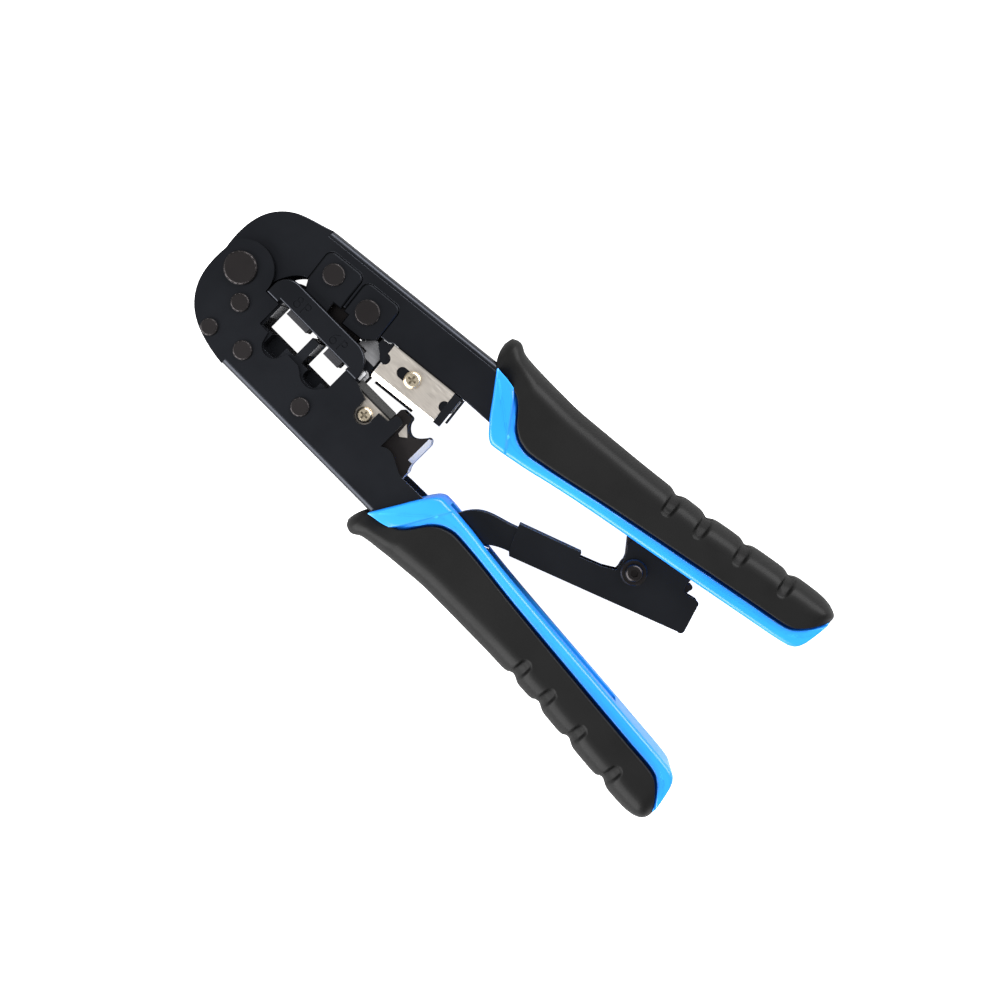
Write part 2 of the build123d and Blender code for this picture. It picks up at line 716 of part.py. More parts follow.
def strut_bar():
    """The goose-necked bar that leaves the lower handle."""
    outline = Outline(89.5, -13.0)
    outline.curve((90.0, -7.5), (94.6, -0.7), (102.3, 2.3), (105.4, 3.4))
    outline.line((123.0, 9.9), (124.6, 8.4), (124.6, 3.2), (108.2, -3.2))
    outline.curve((105.1, -4.6), (101.2, -7.8), (99.5, -13.0))
    outline.arc((94.5, -18.0), (89.5, -13.0))
    bar = slab(outline.face(), -STRUT_IN, STRUT_IN)
    return bar - disc(PIN_A, PIN_A_R + FIT, -20, 20)


def strut_cheek():
    outline = Outline(105.4, 3.4)
    outline.line((108.2, -2.9), (109.3, -3.9), (157.6, 14.8))
    outline.arc((158.7, 15.2), (159.0, 16.3))
    outline.line((156.5, 23.9))
    outline.arc((156.0, 24.7), (155.2, 24.8))
    outline.line((151.7, 23.9))
    outline.arc((150.5, 24.6), (150.0, 25.8))
    outline.line((149.7, 29.2), (131.5, 27.2), (130.4, 24.0), (130.4, 21.9))
    outline.curve((132.4, 19.2), (133.2, 14.8))
    outline.line((129.6, 12.6), (123.4, 10.1))
    return outline.face()


def strut_channel():
    """The folded channel round the bar, whose cheeks hold the elbow screw and the pawl."""
    cheek = slab(strut_cheek(), STRUT_IN, STRUT_OUT)
    cheek = cheek - disc(PIN_B, ELBOW_R + SEAT, 0, 20)
    cheek = cheek - disc(PAWL_PIN, PAWL_PIN_R + SEAT, 0, STRUT_OUT - 0.5)
    outline = Outline(105.4, 3.4)
    outline.line((123.4, 10.1), (122.9, 11.3), (104.9, 4.6))
    back = slab(outline.face(), -STRUT_OUT, STRUT_OUT)
    return joined(back, *both_sides(cheek))


def strut_pin():
    return disc(PIN_A, PIN_A_R, -LOWER_HALF, LOWER_HALF)


def strut_spacer():
    return ring(PIN_A, PIN_A_R + SEAT, 3.2, -LOWER_IN + FIT, -STRUT_IN - FIT)


def opening_spring():
    """The torsion spring round the strut's pin that pushes the tool open."""
    radius = PIN_A_R + SEAT + OPENING_WIRE / 2 + FIT
    height = OPENING_PITCH * OPENING_TURNS
    low = STRUT_IN + 0.75
    turns = Helix(pitch=OPENING_PITCH, height=height, radius=radius)
    turns = Pos(PIN_A[0], PIN_A[1], low) * Rot(0, 0, OPENING_START) * turns
    strut_end = turns @ 0 - (turns % 0) * 11.0
    handle_end = turns @ 1 + (turns % 1) * 11.0
    path = Wire([Line(strut_end, turns @ 0), turns, Line(turns @ 1, handle_end)])
    section = Plane(origin=strut_end, z_dir=turns % 0) * Circle(OPENING_WIRE / 2)
    return sweep(section, path=path)


def wire_leg(start, end, height, wire):
    """A straight stretch of spring wire at one height."""
    length = math.dist(start, end)
    angle = math.degrees(math.atan2(end[1] - start[1], end[0] - start[0]))
    leg = Cylinder(wire / 2, length, align=(Align.CENTER, Align.CENTER, Align.MIN))
    return Pos(start[0], start[1], height) * Rot(0, 0, angle) * Rot(0, 90, 0) * leg


def elbow_screw():
    """A button-head screw with a hex socket."""
    head = disc(PIN_B, 2.6, 5.1, 7.0)
    head = fillet(head.edges().group_by(Axis.Z)[-1], 1.1)
    socket = RegularPolygon(1.25, 6)
    head = head - slab(Pos(PIN_B[0], PIN_B[1]) * socket, 5.9, 8.0)
    return head + disc(PIN_B, ELBOW_R, -6.4, 5.1)


def elbow_washer():
    washer = ring(PIN_B, ELBOW_R + SEAT, 3.8, STRUT_OUT, 5.1)
    return chamfer(washer.edges().group_by(Axis.Z)[-1].sort_by(SortBy.RADIUS)[-1], 0.4)


def elbow_nut():
    nut = slab(Pos(PIN_B[0], PIN_B[1]) * RegularPolygon(3.6, 6), -6.4, -STRUT_OUT)
    return nut - disc(PIN_B, ELBOW_R + SEAT, -20, 20)


def ratchet_teeth():
    """The toothed end of the link, centred on the elbow, with a free notch at each end."""
    first = NOSE_ANGLE - RATCHET_SWEEP / 2 - TOOTH_PITCH * TOOTH_COUNT / 2
    last = first + TOOTH_PITCH * TOOTH_COUNT
    free = 8.0
    root = RATCHET_R - TOOTH
    outline = Outline(*polar(PIN_B, RATCHET_R, first - free - 8))
    outline.line(polar(PIN_B, root, first - free))
    outline.arc(polar(PIN_B, root, first - free / 2), polar(PIN_B, root, first))
    for index in range(TOOTH_COUNT):
        angle = first + index * TOOTH_PITCH
        outline.line(polar(PIN_B, RATCHET_R, angle + 0.6), polar(PIN_B, root, angle + TOOTH_PITCH))
    outline.arc(polar(PIN_B, root, last + free / 2), polar(PIN_B, root, last + free))
    outline.line(polar(PIN_B, RATCHET_R, last + free + 2))
    outline.line(polar(PIN_B, RATCHET_R, last + free + 8))
    outline.line(PIN_B)
    return outline.face()


def ratchet_link():
    """The link from the upper arm to the elbow, toothed round the elbow."""
    top = open_point(PIN_C)
    plate = slab(ratchet_teeth(), -LINK_HALF, LINK_HALF)
    plate = plate + disc(top, 4.2, -LINK_HALF, LINK_HALF)
    plate = plate + disc(PIN_B, 4.5, -LINK_HALF, LINK_HALF)
    bearing = math.degrees(math.atan2(top[1] - PIN_B[1], top[0] - PIN_B[0]))
    length = math.dist(top, PIN_B)
    bar = block((0, length), (-3.6, 2.8), (-LINK_HALF, LINK_HALF))
    plate = plate + Pos(PIN_B[0], PIN_B[1]) * Rot(0, 0, bearing) * bar
    plate = plate - disc(PIN_B, ELBOW_R + ELBOW_PLAY, -20, 20)
    return plate - disc(top, PIN_C_R + FIT, -20, 20)


def link_pin():
    return disc(PIN_C, PIN_C_R, -UPPER_HALF, UPPER_HALF)


def link_spacers():
    spacer = ring(PIN_C, PIN_C_R + SEAT, 3.2, LINK_HALF + FIT, UPPER_IN - FIT)
    return Compound(both_sides(spacer))


def pawl():
    """The pawl, whose rounded tail stands out of the strut as the release lever."""
    half = LINK_HALF - GAP
    tip = polar(PIN_B, RATCHET_R + 0.12, NOSE_ANGLE)
    tail = (151.3, 25.9)
    hub = disc(PAWL_PIN, 2.6, -half, half)
    outline = Outline(*tip)
    outline.line((147.6, 12.9), (151.2, 15.6), (149.6, 20.0), (147.3, 18.6))
    nose = slab(outline.face(), -half, half)
    lever = Outline(148.3, 19.5)
    lever.line((151.7, 18.9), (152.1, 25.5), (150.45, 26.3))
    lever = slab(lever.face(), -half, half)
    knob = disc(tail, 0.95, -half, half)
    return joined(hub, nose, lever, knob) - disc(PAWL_PIN, PAWL_PIN_R + FIT, -20, 20)


def pawl_pin():
    reach = STRUT_OUT - 0.5 - SEAT
    return disc(PAWL_PIN, PAWL_PIN_R, -reach, reach)


def pawl_spring():
    """The small torsion spring beside the pawl, one turn of wire with two legs."""
    wire = 0.4
    height = (LINK_HALF + STRUT_IN) / 2
    turn = Pos(PAWL_PIN[0], PAWL_PIN[1], height) * Torus(1.9, wire / 2)
    first = wire_leg(polar(PAWL_PIN, 1.9, 75), polar(PAWL_PIN, 6.2, 75), height, wire)
    second = wire_leg(polar(PAWL_PIN, 1.9, -15), polar(PAWL_PIN, 6.4, -15), height, wire)
    return joined(turn, first, second)


LOWER_SIDE = {
    "lower_arm": lower_arm,
    "pivot_rivet": pivot_rivet,
    "pivot_bush": pivot_bush,
    "pivot_shims": pivot_shims,
    "plug_nest": plug_nest,
    "nest_rivets": nest_rivets,
    "guide_bar_front": guide_bar_front,
    "guide_bar_back": guide_bar_back,
    "guide_dowels": guide_dowels,
    "die_springs": die_springs,
    "die_block": die_block,
    "punch_8": punch_8,
    "punch_6": punch_6,
    "stripper_block": stripper_block,
    "stripping_blade": stripping_blade,
    "lower_blade": lower_blade,
    "lower_blade_screw": lower_blade_screw,
    "lower_handle_core": lower_handle_core,
    "lower_grip": lower_grip,
    "strut_pin": strut_pin,
    "strut_spacer": strut_spacer,
    "opening_spring": opening_spring,
    "strut_bar": strut_bar,
    "strut_channel": strut_channel,
    "elbow_screw": elbow_screw,
    "elbow_washer": elbow_washer,
    "elbow_nut": elbow_nut,
    "pawl": pawl,
    "pawl_pin": pawl_pin,
    "pawl_spring": pawl_spring,
    "ratchet_link": ratchet_link,
}

UPPER_SIDE = {
    "upper_arm": upper_arm,
    "pusher_block": pusher_block,
    "pusher_pads_front": pusher_pads_front,
    "pusher_pads_back": pusher_pads_back,
    "pad_rivets": pad_rivets,
    "blade_holder": blade_holder,
    "upper_blade": upper_blade,
    "upper_blade_screw": upper_blade_screw,
    "strip_gauge": strip_gauge,
    "upper_handle_core": upper_handle_core,
    "upper_grip": upper_grip,
    "link_pin": link_pin,
    "link_spacers": link_spacers,
}

os.makedirs("parts", exist_ok=True)
for name, make in LOWER_SIDE.items():
    export_step(make(), f"parts/{name}.step")
for name, make in UPPER_SIDE.items():
    export_step(opened(make()), f"parts/{name}.step")
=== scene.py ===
"""The looks of the crimping tool: finishes, soft grips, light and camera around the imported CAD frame.

Metres, in the CAD frame: the origin is on the main pivot, +X runs to the handle ends, +Y to the upper
arm and +Z towards the front face, so the tool lies on its back on the floor.
"""

import json
import math

import bmesh
import bpy
from mathutils import Matrix, Vector


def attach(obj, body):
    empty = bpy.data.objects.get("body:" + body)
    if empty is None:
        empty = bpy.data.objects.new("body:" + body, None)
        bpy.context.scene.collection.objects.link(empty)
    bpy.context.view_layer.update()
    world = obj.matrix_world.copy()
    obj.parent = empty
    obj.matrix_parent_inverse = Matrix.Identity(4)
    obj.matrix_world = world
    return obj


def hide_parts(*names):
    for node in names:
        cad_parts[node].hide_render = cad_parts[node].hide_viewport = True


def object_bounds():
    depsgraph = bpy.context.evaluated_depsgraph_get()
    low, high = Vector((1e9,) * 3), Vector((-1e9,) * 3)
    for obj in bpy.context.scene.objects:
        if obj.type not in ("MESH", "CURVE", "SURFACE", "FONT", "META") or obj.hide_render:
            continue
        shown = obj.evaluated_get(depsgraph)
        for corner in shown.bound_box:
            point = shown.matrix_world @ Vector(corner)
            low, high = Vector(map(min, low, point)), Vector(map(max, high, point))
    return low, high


MM = 0.001

# Camera: it looks down on the front face, a little tilted, with the tool running to the lower right
CAMERA_AT = Vector((89.0, 38.0, 408.0)) * MM
CAMERA_TO = Vector((96.2, 5.8, 8.0)) * MM
CAMERA_TURN = 45.4  # degrees from +X, clockwise, to the picture's right
PICTURE_WIDTH = 277.8 * MM  # width seen at the distance of CAMERA_TO

OPEN_ANGLE = math.radians(6.5)  # how far the upper arm stands open at rest

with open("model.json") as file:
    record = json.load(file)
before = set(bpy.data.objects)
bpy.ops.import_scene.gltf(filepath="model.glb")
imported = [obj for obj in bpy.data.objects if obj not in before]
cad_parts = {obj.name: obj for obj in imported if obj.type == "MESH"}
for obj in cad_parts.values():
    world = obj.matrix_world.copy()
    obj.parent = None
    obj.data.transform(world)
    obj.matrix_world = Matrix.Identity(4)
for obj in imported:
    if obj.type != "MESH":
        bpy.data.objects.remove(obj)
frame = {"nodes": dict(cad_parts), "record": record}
cad_low, cad_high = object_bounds()


# ---------------------------------------------------------------- node helpers


X, Y, Z = (1.0, 0.0, 0.0), (0.0, 1.0, 0.0), (0.0, 0.0, 1.0)
NOISE_ROUGHNESS = 0.55
RAYS = 6  # rays of each edge and hollow test
MASK_EDGE = 0.05  # half width of a mask's soft edge
ANYWHERE = 1000.0  # a limit that nothing reaches


class Nodes:
    """Adds and joins the nodes of one material."""

    def __init__(self, name):
        self.material = bpy.data.materials.new(name)
        self.material.use_nodes = True
        self.tree = self.material.node_tree
        self.shader = self.tree.nodes["Principled BSDF"]

    def add(self, kind, inputs=None, **settings):
        node = self.tree.nodes.new(kind)
        for key, value in settings.items():
            setattr(node, key, value)
        for key, value in (inputs or {}).items():
            self.put(node.inputs[key], value)
        return node

    def put(self, socket, value):
        """Sets a socket to a value, or joins another socket to it."""
        if isinstance(value, bpy.types.NodeSocket):
            self.tree.links.new(value, socket)
        else:
            socket.default_value = value

    def set(self, **inputs):
        for key, value in inputs.items():
            self.put(self.shader.inputs[key.replace("_", " ")], value)

    def place(self, scale=(1.0, 1.0, 1.0), turn=0.0):
        """Object coordinates, stretched, for textures that don't need UVs."""
        coordinates = self.add("ShaderNodeTexCoord").outputs["Object"]
        mapping = self.add("ShaderNodeMapping", {"Vector": coordinates, "Scale": scale})
        mapping.inputs["Rotation"].default_value = (0.0, 0.0, math.radians(turn))
        return mapping.outputs["Vector"]

    def noise(self, scale, detail, vector=None):
        vector = vector or self.place()
        inputs = {"Vector": vector, "Scale": scale, "Detail": detail, "Roughness": NOISE_ROUGHNESS}
        return self.add("ShaderNodeTexNoise", inputs).outputs["Fac"]

    def spread(self, value, low, high, start=0.35, end=0.65):
        """Maps a factor from start..end to low..high."""
        inputs = {"Value": value, "From Min": start, "From Max": end, "To Min": low, "To Max": high}
        return self.add("ShaderNodeMapRange", inputs).outputs["Result"]

    def mix(self, factor, first, second):
        node = self.add("ShaderNodeMix", data_type="RGBA")
        self.put(node.inputs[0], factor)
        self.put(node.inputs[6], first)
        self.put(node.inputs[7], second)
        return node.outputs[2]

    def bump(self, height, depth):
        """A bump whose depth is in millimetres."""
        inputs = {"Height": height, "Distance": depth * MM, "Strength": 1.0}
        return self.add("ShaderNodeBump", inputs).outputs["Normal"]

    def edges(self, radius):
        """How near a point is to a sharp edge, from 0 on a face to 1 on the edge."""
        rounded = self.add("ShaderNodeBevel", {"Radius": radius * MM}, samples=RAYS).outputs[0]
        plain = self.add("ShaderNodeNewGeometry").outputs["Normal"]
        return self.spread(self.along(rounded, plain), 1.0, 0.0, 0.80, 0.995)

    def along(self, vector, direction):
        """The part of a vector that lies along a direction."""
        dot = self.add("ShaderNodeVectorMath", operation="DOT_PRODUCT")
        self.put(dot.inputs[0], vector)
        self.put(dot.inputs[1], direction)
        return dot.outputs["Value"]

    def placed(self, direction):
        """Place of a point along a direction, in millimetres from the pivot."""
        point = self.add("ShaderNodeTexCoord").outputs["Object"]
        return self.combine("MULTIPLY", self.along(point, direction), 1 / MM)

    def facing(self, direction):
        """How far a surface faces a direction, from -1 to 1."""
        return self.along(self.add("ShaderNodeTexCoord").outputs["Normal"], direction)

    def combine(self, operation, first, second):
        """One step of arithmetic on two factors."""
        node = self.add("ShaderNodeMath", operation=operation)
        self.put(node.inputs[0], first)
        self.put(node.inputs[1], second)
        return node.outputs[0]

    def between(self, value, low, high):
        """1 where the value lies between two limits, else 0."""
        rise = self.spread(value, 0.0, 1.0, low - MASK_EDGE, low + MASK_EDGE)
        fall = self.spread(value, 1.0, 0.0, high - MASK_EDGE, high + MASK_EDGE)
        return self.combine("MULTIPLY", rise, fall)

    def all_of(self, *masks):
        whole = masks[0]
        for mask in masks[1:]:
            whole = self.combine("MULTIPLY", whole, mask)
        return whole

    def any_of(self, *masks):
        whole = masks[0]
        for mask in masks[1:]:
            whole = self.combine("MAXIMUM", whole, mask)
        return whole

    def hollows(self, reach):
        """How open a point is, from 0 deep in a recess to 1 out in the open."""
        inputs = {"Distance": reach * MM}
        return self.add("ShaderNodeAmbientOcclusion", inputs, samples=RAYS).outputs["AO"]


def grey(value, tint=(1.0, 1.0, 1.0)):
    return (value * tint[0], value * tint[1], value * tint[2], 1.0)


# ---------------------------------------------------------------- finishes


BLACK_TINT = (0.88, 0.94, 1.12)
WARM_TINT = (1.08, 0.98, 1.0)
BARE_TINT = (0.75, 0.75, 0.77)  # steel ground bare on a blackened part
BARE_METAL = 0.35


def satin_black(name, tone, roughness, tint=BLACK_TINT, bare=None):
    """Blackened steel, slightly uneven, paler at its sharp edges by a painted highlight, bare where it is
    ground.

    bare takes the nodes and gives the mask of the ground areas.
    """
    nodes = Nodes(name)
    cloud = nodes.noise(45.0, 4.0)
    grain = nodes.noise(5200.0, 2.0)
    colour = nodes.mix(nodes.spread(cloud, 0.0, 1.0), grey(tone * 0.8, tint), grey(tone * 1.2, tint))
    # painted highlight: sharp edges are lightened to five times the tone
    colour = nodes.mix(nodes.edges(0.2), colour, grey(tone * 5.0, tint))
    rough = nodes.spread(cloud, roughness - 0.03, roughness + 0.04)
    nodes.set(Base_Color=colour, Roughness=rough, Normal=nodes.bump(grain, 0.005))
    nodes.shader.inputs["Specular IOR Level"].default_value = 0.37
    nodes.shader.inputs["Specular Tint"].default_value = grey(1.0, tint)
    if bare is not None:
        mask = bare(nodes)
        marks = nodes.noise(1.0, 4.0, nodes.place((300.0, 7000.0, 7000.0), 90.0))
        shade = nodes.mix(nodes.spread(marks, 0.0, 1.0), grey(0.85, BARE_TINT), grey(1.1, BARE_TINT))
        metal = nodes.combine("MULTIPLY", mask, BARE_METAL)
        nodes.set(Base_Color=nodes.mix(mask, colour, shade), Metallic=metal)
    return nodes.material


def ground_steel(name, tint, roughness, dark=None):
    """Bare steel with fine parallel grinding marks, and painted shade that darkens its recesses.

    dark takes the nodes and gives the mask of areas painted near black, as painted shadow or painted dark
    reflection.
    """
    nodes = Nodes(name)
    marks = nodes.noise(1.0, 4.0, nodes.place((250.0, 9000.0, 9000.0)))
    cloud = nodes.noise(120.0, 3.0)
    shade = nodes.mix(nodes.spread(marks, 0.0, 1.0), grey(0.85, tint), grey(1.02, tint))
    shade = nodes.mix(nodes.spread(cloud, 0.0, 0.3), shade, grey(0.88, tint))
    # painted shade: recesses darken towards near black
    shade = nodes.mix(nodes.spread(nodes.hollows(1.2), 0.8, 0.0, 0.1, 0.75), shade, grey(0.05, tint))
    metal = 1.0
    if dark is not None:
        mask = dark(nodes)
        # painted shadow or painted dark reflection: near black and not metal where the mask says
        shade = nodes.mix(mask, shade, grey(0.004))
        metal = nodes.combine("SUBTRACT", 1.0, mask)
    nodes.set(
        Base_Color=shade,
        Metallic=metal,
        Roughness=nodes.spread(marks, roughness - 0.06, roughness + 0.08),
        Normal=nodes.bump(marks, 0.004),
    )
    return nodes.material


def moulded_plastic(name, colour, pale, deep, roughness):
    """Semi-gloss moulded plastic, paler at its edges as a painted highlight and deeper in colour where it
    is recessed as painted shade.
    """
    nodes = Nodes(name)
    skin = nodes.noise(1500.0, 2.0)
    cloud = nodes.noise(30.0, 2.0)
    base = nodes.mix(nodes.spread(cloud, 0.0, 0.25), colour, pale)
    # painted highlight: the edges turn pale
    base = nodes.mix(nodes.edges(0.8), base, pale)
    # painted shade: the recesses turn deep navy
    base = nodes.mix(nodes.spread(nodes.hollows(6.0), 1.0, 0.0, 0.05, 0.85), base, deep)
    nodes.set(
        Base_Color=base,
        Roughness=nodes.spread(cloud, roughness - 0.03, roughness + 0.05),
        Normal=nodes.bump(skin, 0.005),
        Coat_Weight=0.25,
        Coat_Roughness=0.2,
    )
    return nodes.material


def soft_rubber(name, tone, roughness):
    """Matt thermoplastic rubber with an eroded mould texture, dull and dark in its recesses as painted
    shade.
    """
    nodes = Nodes(name)
    cells = nodes.add("ShaderNodeTexVoronoi", {"Vector": nodes.place(), "Scale": 2600.0})
    cloud = nodes.noise(60.0, 3.0)
    open_air = nodes.hollows(3.5)
    colour = nodes.mix(nodes.spread(cloud, 0.0, 1.0), grey(tone * 0.85), grey(tone * 1.2))
    # painted shade: in recesses the rubber turns much darker and loses most of its specular and coat
    nodes.set(
        Base_Color=nodes.mix(nodes.spread(open_air, 0.0, 1.0, 0.2, 0.9), grey(tone * 0.15), colour),
        Roughness=nodes.spread(cloud, roughness - 0.04, roughness + 0.05),
        Normal=nodes.bump(cells.outputs["Distance"], 0.015),
        Specular_IOR_Level=nodes.spread(open_air, 0.03, 0.15, 0.3, 0.95),
        Coat_Weight=nodes.spread(open_air, 0.0, 0.10, 0.5, 0.95),
        Coat_Roughness=0.28,
    )
    return nodes.material


# Places of the two-tone areas, and of the painted shadow and painted dark reflection on the blades, in
# millimetres from the pivot
CAVITY_SPAN = (14.4, 40.6)
CAVITY_DEEPEST = -4.0
POST_TOP = 6.6
POST_START = 30.0
POST_END = 60.0
POST_FOOT = (1.3, 4.3)
POST_FOOT_START = 44.2
POST_TOP_BARE = 0.42  # how bare the top facet is
PRONG_START = 66.0
LOWER_BEVEL_START = -0.75
# across the upper blade, where its painted shadow fades in
PAINTED_SHADOW_BAND = (8.9, 10.2)
FACES = (0.5, 2.0)  # facing limits of a surface that looks mostly along a direction


def nest_walls(nodes):
    """The bare areas of the nest: the cavities' left walls and two facets of its right post."""
    x, y = nodes.placed(X), nodes.placed(Y)
    up = nodes.between(nodes.facing(Z), *FACES)
    wall = nodes.all_of(
        nodes.between(nodes.facing(X), *FACES),
        nodes.between(x, *CAVITY_SPAN),
        nodes.between(y, CAVITY_DEEPEST, ANYWHERE),
    )
    top = nodes.all_of(up, nodes.between(y, POST_TOP, ANYWHERE), nodes.between(x, POST_START, POST_END))
    foot = nodes.all_of(up, nodes.between(y, *POST_FOOT), nodes.between(x, POST_FOOT_START, POST_END))
    return nodes.any_of(wall, nodes.combine("MULTIPLY", top, POST_TOP_BARE), foot)


def prong_faces(nodes):
    """The ground faces of the stripper block, which slope towards the handles."""
    return nodes.all_of(
        nodes.between(nodes.facing(X), 0.35, 2.0),
        nodes.between(nodes.facing(Z), -0.2, 0.95),
        nodes.between(nodes.placed(X), PRONG_START, ANYWHERE),
    )


def lower_bevel(nodes):
    """The bevel of the lower blade, which faces the upper arm, painted near black as a dark reflection."""
    return nodes.any_of(
        nodes.between(nodes.facing(Y), 0.15, 2.0),
        nodes.between(nodes.placed(Y), LOWER_BEVEL_START, ANYWHERE),
    )


def upper_shadow(nodes):
    """A painted shadow along the upper blade's edge where it meets the arm."""
    place = nodes.placed((-math.sin(OPEN_ANGLE), math.cos(OPEN_ANGLE), 0.0))
    return nodes.spread(place, 0.0, 1.0, *PAINTED_SHADOW_BAND)


BLADE_TINT = (0.80, 0.74, 0.67)
BLUE = (0.008, 0.24, 0.92, 1.0)
# a paler tone of the plastic, also its painted highlight at the edges
CYAN = (0.03, 0.42, 0.90, 1.0)
# the colour of the painted shade in the plastic's recesses
NAVY_SHADE = (0.0, 0.03, 0.32, 1.0)
FINISHES = {
    "black_steel": satin_black("satin_black_steel", 0.0014, 0.30),
    "black_rivet": satin_black("satin_black_rivet", 0.0028, 0.36, WARM_TINT),
    "black_screw": satin_black("satin_black_screw", 0.0022, 0.30, WARM_TINT),
    "dark_steel": satin_black("hardened_dark_steel", 0.004, 0.36, WARM_TINT),
    "plain_steel": ground_steel("turned_steel", (0.60, 0.60, 0.62), 0.32),
    "nest_steel": satin_black("nest_black_and_steel", 0.0022, 0.36, bare=nest_walls),
    "blade_steel": ground_steel("blade_steel", BLADE_TINT, 0.36),
    "spring_steel": ground_steel("spring_steel", (0.45, 0.45, 0.46), 0.35),
    "nickel": ground_steel("passivated_nickel", (0.86, 0.74, 0.55), 0.28),
    "blue_plastic": moulded_plastic("blue_plastic", BLUE, CYAN, NAVY_SHADE, 0.34),
    "black_grip": soft_rubber("grip_rubber", 0.0035, 0.60),
}
NODE_FINISHES = {
    "punch_8": ground_steel("punch_steel", (0.11, 0.11, 0.12), 0.42),
    "upper_blade": ground_steel("upper_blade_steel", BLADE_TINT, 0.36, dark=upper_shadow),
    "lower_blade": ground_steel("lower_blade_steel", BLADE_TINT, 0.36, dark=lower_bevel),
    "stripper_block": satin_black("stripper_black", 0.0028, 0.4, WARM_TINT, prong_faces),
}
NODE_FINISHES["punch_6"] = NODE_FINISHES["punch_8"]


def dress_frame():
    """Gives every CAD node the finish of its material slot."""
    for part in frame["record"]["subparts"]:
        node = frame["nodes"][part["node"]]
        finish = NODE_FINISHES.get(part["node"], FINISHES[part["material_slot"]])
        for slot in node.material_slots:
            slot.material = finish


EDGE_RADII = {  # millimetres
    "stripper_block": 0.25,
    "plug_nest": 0.15,
    "strut_channel": 0.3,
    "strut_bar": 0.4,
    "blade_holder": 0.2,
    "die_block": 0.15,
    "pusher_block": 0.2,
    "ratchet_link": 0.2,
    "elbow_nut": 0.3,
    "pivot_rivet": 0.45,
    "nest_rivets": 0.4,
    "pad_rivets": 0.4,
    "pivot_shims": 0.2,
}
WELD_GAP = 0.002 * MM
FLAT_ANGLE = math.radians(0.5)
SHARP_ANGLE = math.radians(35.0)


def soften_edges():
    """Breaks the sharp edges of the steel parts, with modifiers only."""
    for name, radius in EDGE_RADII.items():
        node = frame["nodes"][name]
        weld = node.modifiers.new("weld", "WELD")
        weld.merge_threshold = WELD_GAP
        merge = node.modifiers.new("merge_flats", "DECIMATE")
        merge.decimate_type = "DISSOLVE"
        merge.angle_limit = FLAT_ANGLE
        bevel = node.modifiers.new("edges", "BEVEL")
        bevel.width = radius * MM
        bevel.segments = 2
        bevel.limit_method = "ANGLE"
        bevel.angle_limit = SHARP_ANGLE
        bevel.use_clamp_overlap = True
        bevel.harden_normals = True


# ---------------------------------------------------------------- handles

# Each handle is drawn in the frame of its own closed arm: x along the arm and y outwards, in
# millimetres. The lower one is mirrored. They differ in their slots and their lean, and only the
# upper one has the relief for the elbow.
CORE_HALF = 9.6  # half thickness of the plastic core
GRIP_HALF = 10.4
GUARD_HALF = 5.5  # half thickness of the grip at its guard
GUARD_END = 84.0
WAIST = (112.0, 22.0, 0.5)  # middle, reach and depth of the grip's waist
SLOT_HALF = 4.3
SLOT_PAST = 5.0  # how far the slot's cutter runs past the handle's inner edge
LOWER_SLOT = (87.5, 159.8)
UPPER_SLOT = (122.0, 163.0)
SLOT_DEPTH = 22.0  # y of the slot's floor
ELBOW_CLOSED = (143.2, 7.0)  # where the elbow's washer and nut sink into the upper handle
ELBOW_RELIEF = (4.4, 7.2)  # radius and half thickness of that relief
RIDGE = ((80.5, 21.6), (89.5, 5.7))  # the step behind the collar
GROOVES = ((134.05, 20.2), (144.65, 21.0), (157.8, 22.0), (172.8, 23.0))  # middle, inner end
GROOVE_HALF = 1.75
GROOVE_DEPTH = 1.3
NOTCH_DEPTH = 1.05  # how far a groove dips into the outer edge
NOTCH_REACH = 1.85
LIP = 0.35  # how far the grip stands above the core along the parting line
LIP_WIDTH = 0.4

GRIP_START = 69.8
GRIP_END = 189.9
GRIP_END_Y = 26.6  # where the grip closes at its end
END_ROUND = 7.9
BACK_LINE = (  # outer edge without its grooves: the guard's knob, the waist, the swell at the end
    (69.8, 29.5), (70.8, 31.4), (73.0, 32.0), (76.2, 30.3), (80.0, 29.5), (90.0, 28.3), (100.0, 27.5),
    (120.0, 27.4), (141.0, 27.9), (154.0, 28.8), (169.0, 29.9), (182.0, 30.7), (189.9, 30.7),
)
PARTING = (  # the line between grip and core: the guard, the drop behind it, the long run, the end
    (69.8, 29.5), (69.95, 28.0), (70.4, 26.2), (72.0, 23.3), (73.0, 22.7), (77.5, 21.8), (81.5, 20.4),
    (83.4, 18.9), (85.0, 16.9), (86.9, 14.1), (88.7, 12.3), (90.8, 11.0), (94.5, 10.1),
    (100.0, 10.4), (120.0, 12.5), (170.0, 16.9), (178.0, 17.5), (181.0, 18.1), (184.0, 20.2),
    (186.0, 22.3), (189.9, 26.6),
)
CORE_START = 73.0
CORE_END = 188.9
INNER_EDGE = (  # the core's edge towards the other handle
    (73.0, 22.5), (77.0, 15.7), (80.5, 9.8), (83.5, 6.0), (85.0, 5.3), (95.0, 5.9), (105.0, 7.1),
    (115.0, 8.1), (170.0, 12.2), (183.2, 13.4), (185.2, 14.2), (186.6, 15.8), (187.6, 19.0),
    (188.6, 23.4), (188.9, 25.2),
)
LEAN = 0.0093  # how much each outer edge leans away from the average of the two handles
LEAN_MIDDLE = 128.0
TIP = 0.004  # how far inside a handle's ends its first and last sections lie
GRIP_POINTS = 34  # points on the front half of a section
CORE_POINTS = 26


